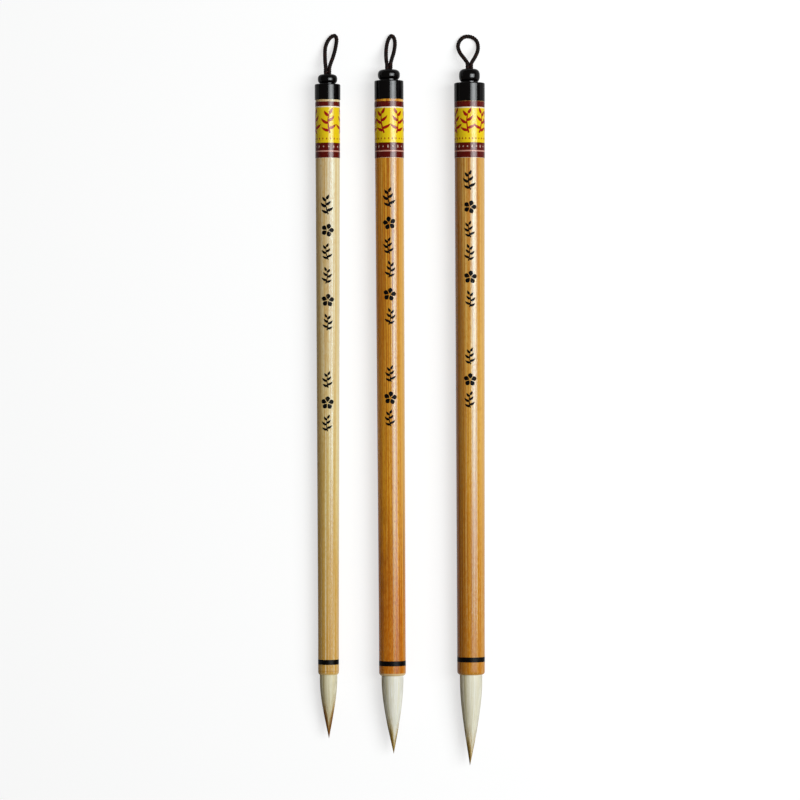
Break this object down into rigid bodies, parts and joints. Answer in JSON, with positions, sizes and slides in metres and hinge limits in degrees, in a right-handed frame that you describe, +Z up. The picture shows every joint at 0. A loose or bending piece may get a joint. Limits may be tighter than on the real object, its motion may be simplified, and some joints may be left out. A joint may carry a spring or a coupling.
{
  "type": "calligraphy brush set",
  "caption": "Three bamboo writing brushes in small, medium and large size, lying side by side, each with a black turned cap, a cord loop, a paper label and a pointed hair tip.",
  "frame": {"origin": "on the table, at the middle of the space that the three brushes take without their cord loops", "axes": "+Z up, +Y from the hair tips towards the caps and loops, +X from the small brush towards the large one"},
  "size_m": [0.0648, 0.2784, 0.0117],
  "materials": {
    "small_bamboo": "pale bamboo, polished, tanned near the hair",
    "medium_bamboo": "amber bamboo, polished, with a brown stain",
    "large_bamboo": "honey-coloured bamboo, polished",
    "black_cap": "gloss black, turned",
    "black_cord": "twisted waxed cord, black-brown",
    "printed_label": "coated paper, yellow with maroon bands",
    "black_ring": "black, flush with the bamboo",
    "white_hair": "white goat hair",
    "brown_hair": "brown stiff core hair",
    "thread": "undyed binding thread",
    "rosin": "hard amber rosin"
  },
  "bodies": {
    "small_brush": {"small_handle": "small_bamboo", "small_end_cap": "black_cap", "small_cord_tail": "black_cord", "small_label_band": "printed_label", "small_tip_ring": "black_ring", "small_hair_root": "white_hair", "small_root_thread": "thread", "small_root_rosin": "rosin"},
    "small_loop": {"small_cord_loop": "black_cord"},
    "small_hair": {"small_cover_hair": "white_hair", "small_core_hair": "brown_hair"},
    "medium_brush": {"medium_handle": "medium_bamboo", "medium_end_cap": "black_cap", "medium_cord_tail": "black_cord", "medium_label_band": "printed_label", "medium_tip_ring": "black_ring", "medium_hair_root": "white_hair", "medium_root_thread": "thread", "medium_root_rosin": "rosin"},
    "medium_loop": {"medium_cord_loop": "black_cord"},
    "medium_hair": {"medium_cover_hair": "white_hair", "medium_core_hair": "brown_hair"},
    "large_brush": {"large_handle": "large_bamboo", "large_end_cap": "black_cap", "large_cord_tail": "black_cord", "large_label_band": "printed_label", "large_tip_ring": "black_ring", "large_hair_root": "white_hair", "large_root_thread": "thread", "large_root_rosin": "rosin"},
    "large_loop": {"large_cord_loop": "black_cord"},
    "large_hair": {"large_cover_hair": "white_hair", "large_core_hair": "brown_hair"}
  },
  "joints": [
    {"name": "small_lift", "type": "slide", "parent": "medium_brush", "child": "small_brush", "axis": [0, 0, 1], "range_m": [0, 0.1]},
    {"name": "small_loop_swing", "type": "hinge", "parent": "small_brush", "child": "small_loop", "pos_m": [-0.02746, 0.1304, 0.00495], "axis": [1, 0.0016, 0], "range_deg": [0, 90]},
    {"name": "small_hair_flex", "type": "hinge", "parent": "small_brush", "child": "small_hair", "pos_m": [-0.0271, -0.10059, 0.00396], "axis": [0, 0, 1], "range_deg": [-30, 30], "stiffness_Nm_per_rad": 0.002},
    {"name": "medium_loop_swing", "type": "hinge", "parent": "medium_brush", "child": "medium_loop", "pos_m": [-0.00416, 0.1322, 0.0056], "axis": [1, 0.0061, 0], "range_deg": [0, 90]},
    {"name": "medium_hair_flex", "type": "hinge", "parent": "medium_brush", "child": "medium_hair", "pos_m": [-0.00274, -0.10131, 0.00509], "axis": [0, 0, 1], "range_deg": [-30, 30], "stiffness_Nm_per_rad": 0.003},
    {"name": "large_lift", "type": "slide", "parent": "medium_brush", "child": "large_brush", "axis": [0, 0, 1], "range_m": [0, 0.1]},
    {"name": "large_loop_swing", "type": "hinge", "parent": "large_brush", "child": "large_loop", "pos_m": [0.02645, 0.1324, 0.00589], "axis": [1, 0.0028, 0], "range_deg": [0, 90]},
    {"name": "large_hair_flex", "type": "hinge", "parent": "large_brush", "child": "large_hair", "pos_m": [0.02711, -0.10097, 0.00527], "axis": [0, 0, 1], "range_deg": [-30, 30], "stiffness_Nm_per_rad": 0.004}
  ]
}
